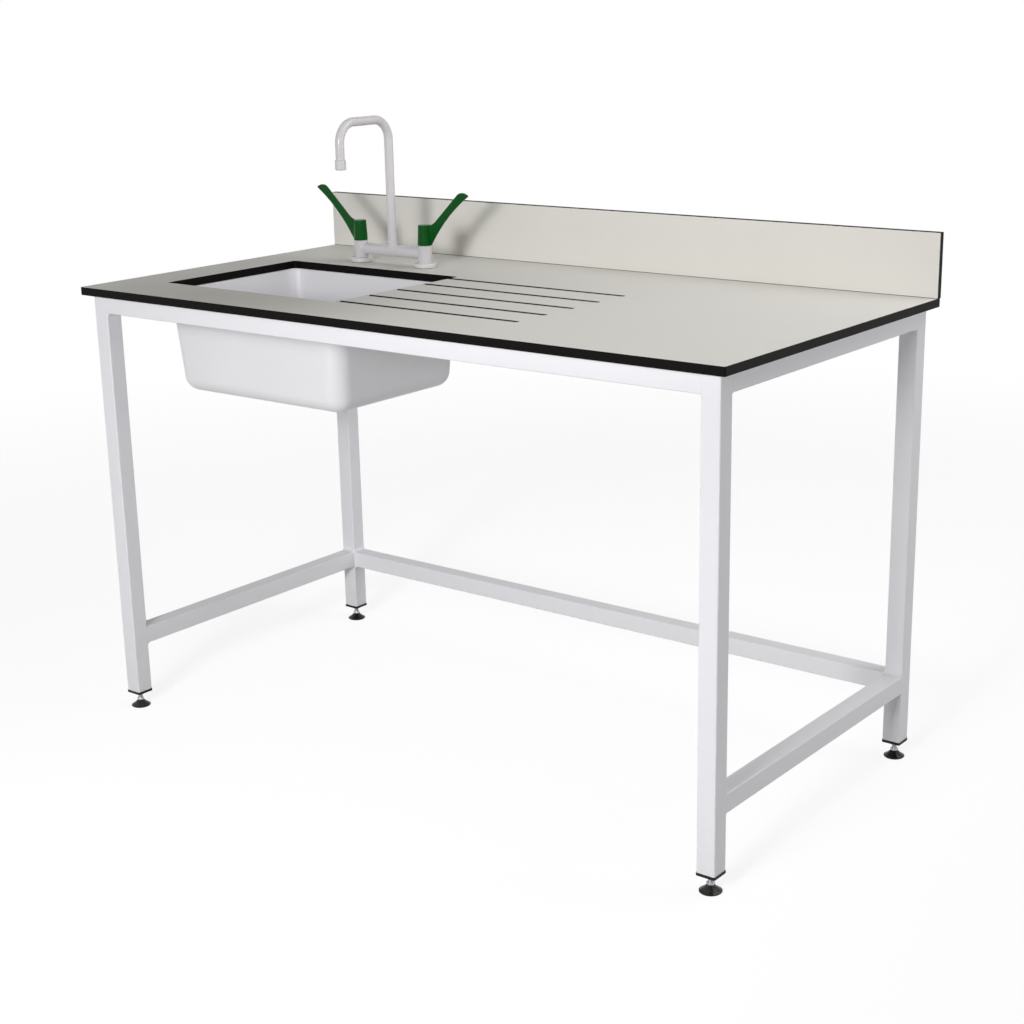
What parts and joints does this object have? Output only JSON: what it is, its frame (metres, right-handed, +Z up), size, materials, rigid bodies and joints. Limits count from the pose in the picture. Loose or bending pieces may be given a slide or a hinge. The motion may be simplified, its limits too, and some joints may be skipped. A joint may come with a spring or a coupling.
{
  "type": "laboratory sink unit",
  "caption": "Laboratory bench with a welded tube stand, laminate worktop and upstand, undermounted basin, drainer grooves and an elbow-lever swan-neck tap.",
  "frame": {"origin": "on the floor, under the middle of the worktop's bounding box", "axes": "+Z up, +X along the worktop towards the plain end, -Y towards the user"},
  "size_m": [1.5, 0.75, 1.2118],
  "materials": {
    "frame_paint": "satin white powder coat on welded square steel tube",
    "insert_plastic": "matte black nylon",
    "foot_plastic": "polished black nylon",
    "zinc": "bright zinc plate",
    "laminate": "compact laminate, warm grey decor with a black core, satin",
    "screw_steel": "zinc plated steel",
    "clip_steel": "stainless sheet",
    "basin_white": "satin white moulding",
    "silicone": "white silicone",
    "waste_steel": "satin stainless steel",
    "nut_plastic": "white moulded plastic",
    "black_rubber": "matte black rubber",
    "tap_epoxy": "satin pale grey epoxy coat on brass",
    "lever_green": "polished dark green moulding",
    "brass": "machined brass"
  },
  "bodies": {
    "bench": {"foot_locknuts": "zinc", "frame_welds": "frame_paint", "inlet_tail_left": "brass", "inlet_tail_right": "brass", "leg_front_left": "frame_paint", "leg_front_right": "frame_paint", "leg_insert_front_left": "insert_plastic", "leg_insert_front_right": "insert_plastic", "leg_insert_rear_left": "insert_plastic", "leg_insert_rear_right": "insert_plastic", "leg_rear_left": "frame_paint", "leg_rear_right": "frame_paint", "low_rail_left": "frame_paint", "low_rail_rear": "frame_paint", "low_rail_right": "frame_paint", "sink_basin": "basin_white", "sink_clip_screws": "screw_steel", "sink_clips": "clip_steel", "sink_seal": "silicone", "spout_collar_nut": "tap_epoxy", "tap_back_nuts": "brass", "tap_body": "tap_epoxy", "tap_flange_left": "tap_epoxy", "tap_flange_right": "tap_epoxy", "tap_gaskets": "black_rubber", "tap_washers": "black_rubber", "top_rail_front": "frame_paint", "top_rail_left": "frame_paint", "top_rail_rear": "frame_paint", "top_rail_right": "frame_paint", "upstand": "laminate", "upstand_screws": "screw_steel", "valve_cartridge_left": "brass", "valve_cartridge_right": "brass", "waste_back_nut": "nut_plastic", "waste_flange": "waste_steel", "waste_gasket": "black_rubber", "waste_washer": "black_rubber", "worktop": "laminate", "worktop_screws": "screw_steel"},
    "lever_left": {"lever_left": "lever_green", "valve_spindle_left": "brass", "lever_screw_left": "screw_steel"},
    "lever_right": {"lever_right": "lever_green", "valve_spindle_right": "brass", "lever_screw_right": "screw_steel"},
    "spout": {"spout_tube": "tap_epoxy", "spout_outlet": "tap_epoxy", "spout_orings": "black_rubber"},
    "foot_front_left": {"foot_stem_front_left": "zinc", "foot_base_front_left": "foot_plastic"},
    "foot_front_right": {"foot_stem_front_right": "zinc", "foot_base_front_right": "foot_plastic"},
    "foot_rear_left": {"foot_stem_rear_left": "zinc", "foot_base_rear_left": "foot_plastic"},
    "foot_rear_right": {"foot_stem_rear_right": "zinc", "foot_base_rear_right": "foot_plastic"}
  },
  "joints": [
    {"name": "spout_swivel", "type": "hinge", "parent": "bench", "child": "spout", "pos_m": [-0.416, 0.189, 0.9455], "axis": [0, 0, 1], "range_deg": [-90, 90]},
    {"name": "lever_left_turn", "type": "hinge", "parent": "bench", "child": "lever_left", "pos_m": [-0.5065, 0.189, 0.946], "axis": [0, 0, 1], "range_deg": [0, 90]},
    {"name": "lever_right_turn", "type": "hinge", "parent": "bench", "child": "lever_right", "pos_m": [-0.3255, 0.189, 0.946], "axis": [0, 0, 1], "range_deg": [-90, 0]},
    {"name": "foot_front_left_height", "type": "slide", "parent": "bench", "child": "foot_front_left", "axis": [0, 0, 1], "range_m": [-0.025, 0.007]},
    {"name": "foot_front_right_height", "type": "slide", "parent": "bench", "child": "foot_front_right", "axis": [0, 0, 1], "range_m": [-0.025, 0.007]},
    {"name": "foot_rear_left_height", "type": "slide", "parent": "bench", "child": "foot_rear_left", "axis": [0, 0, 1], "range_m": [-0.025, 0.007]},
    {"name": "foot_rear_right_height", "type": "slide", "parent": "bench", "child": "foot_rear_right", "axis": [0, 0, 1], "range_m": [-0.025, 0.007]}
  ]
}
